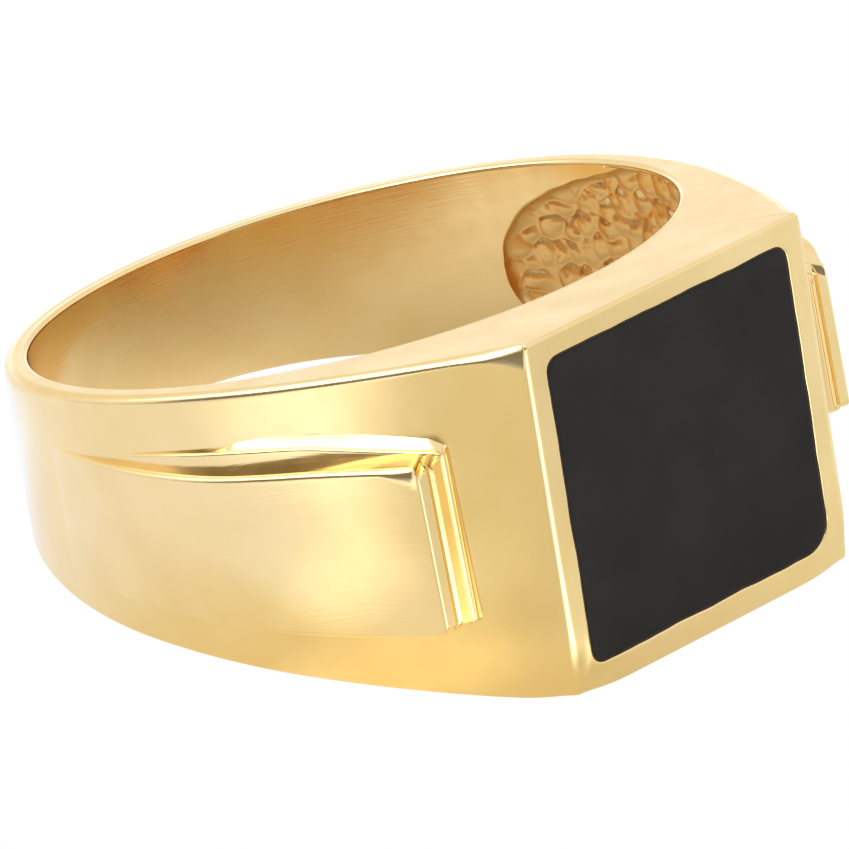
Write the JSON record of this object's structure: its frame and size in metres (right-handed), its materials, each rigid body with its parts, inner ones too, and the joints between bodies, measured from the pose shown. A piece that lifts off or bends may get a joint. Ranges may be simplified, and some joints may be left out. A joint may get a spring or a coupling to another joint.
{
  "type": "signet ring",
  "caption": "Finger ring with a square flat head, a flush black stone tablet and a raised stepped strap on each shoulder.",
  "frame": {"origin": "middle of the finger bore, on its axis", "axes": "+Z along the finger bore, head and stone towards -Y, +X to the right of someone who looks at the face"},
  "size_m": [0.0222, 0.0238, 0.0108],
  "materials": {
    "gold": "polished yellow gold with fine hand finishing lines",
    "onyx": "polished black stone",
    "cement": "dark cement"
  },
  "bodies": {
    "root": {"ring_body": "gold", "onyx_tablet": "onyx", "inlay_cement": "cement", "shoulder_step_left": "gold", "shoulder_step_right": "gold", "shoulder_strap_left": "gold", "shoulder_strap_right": "gold"}
  },
  "joints": []
}
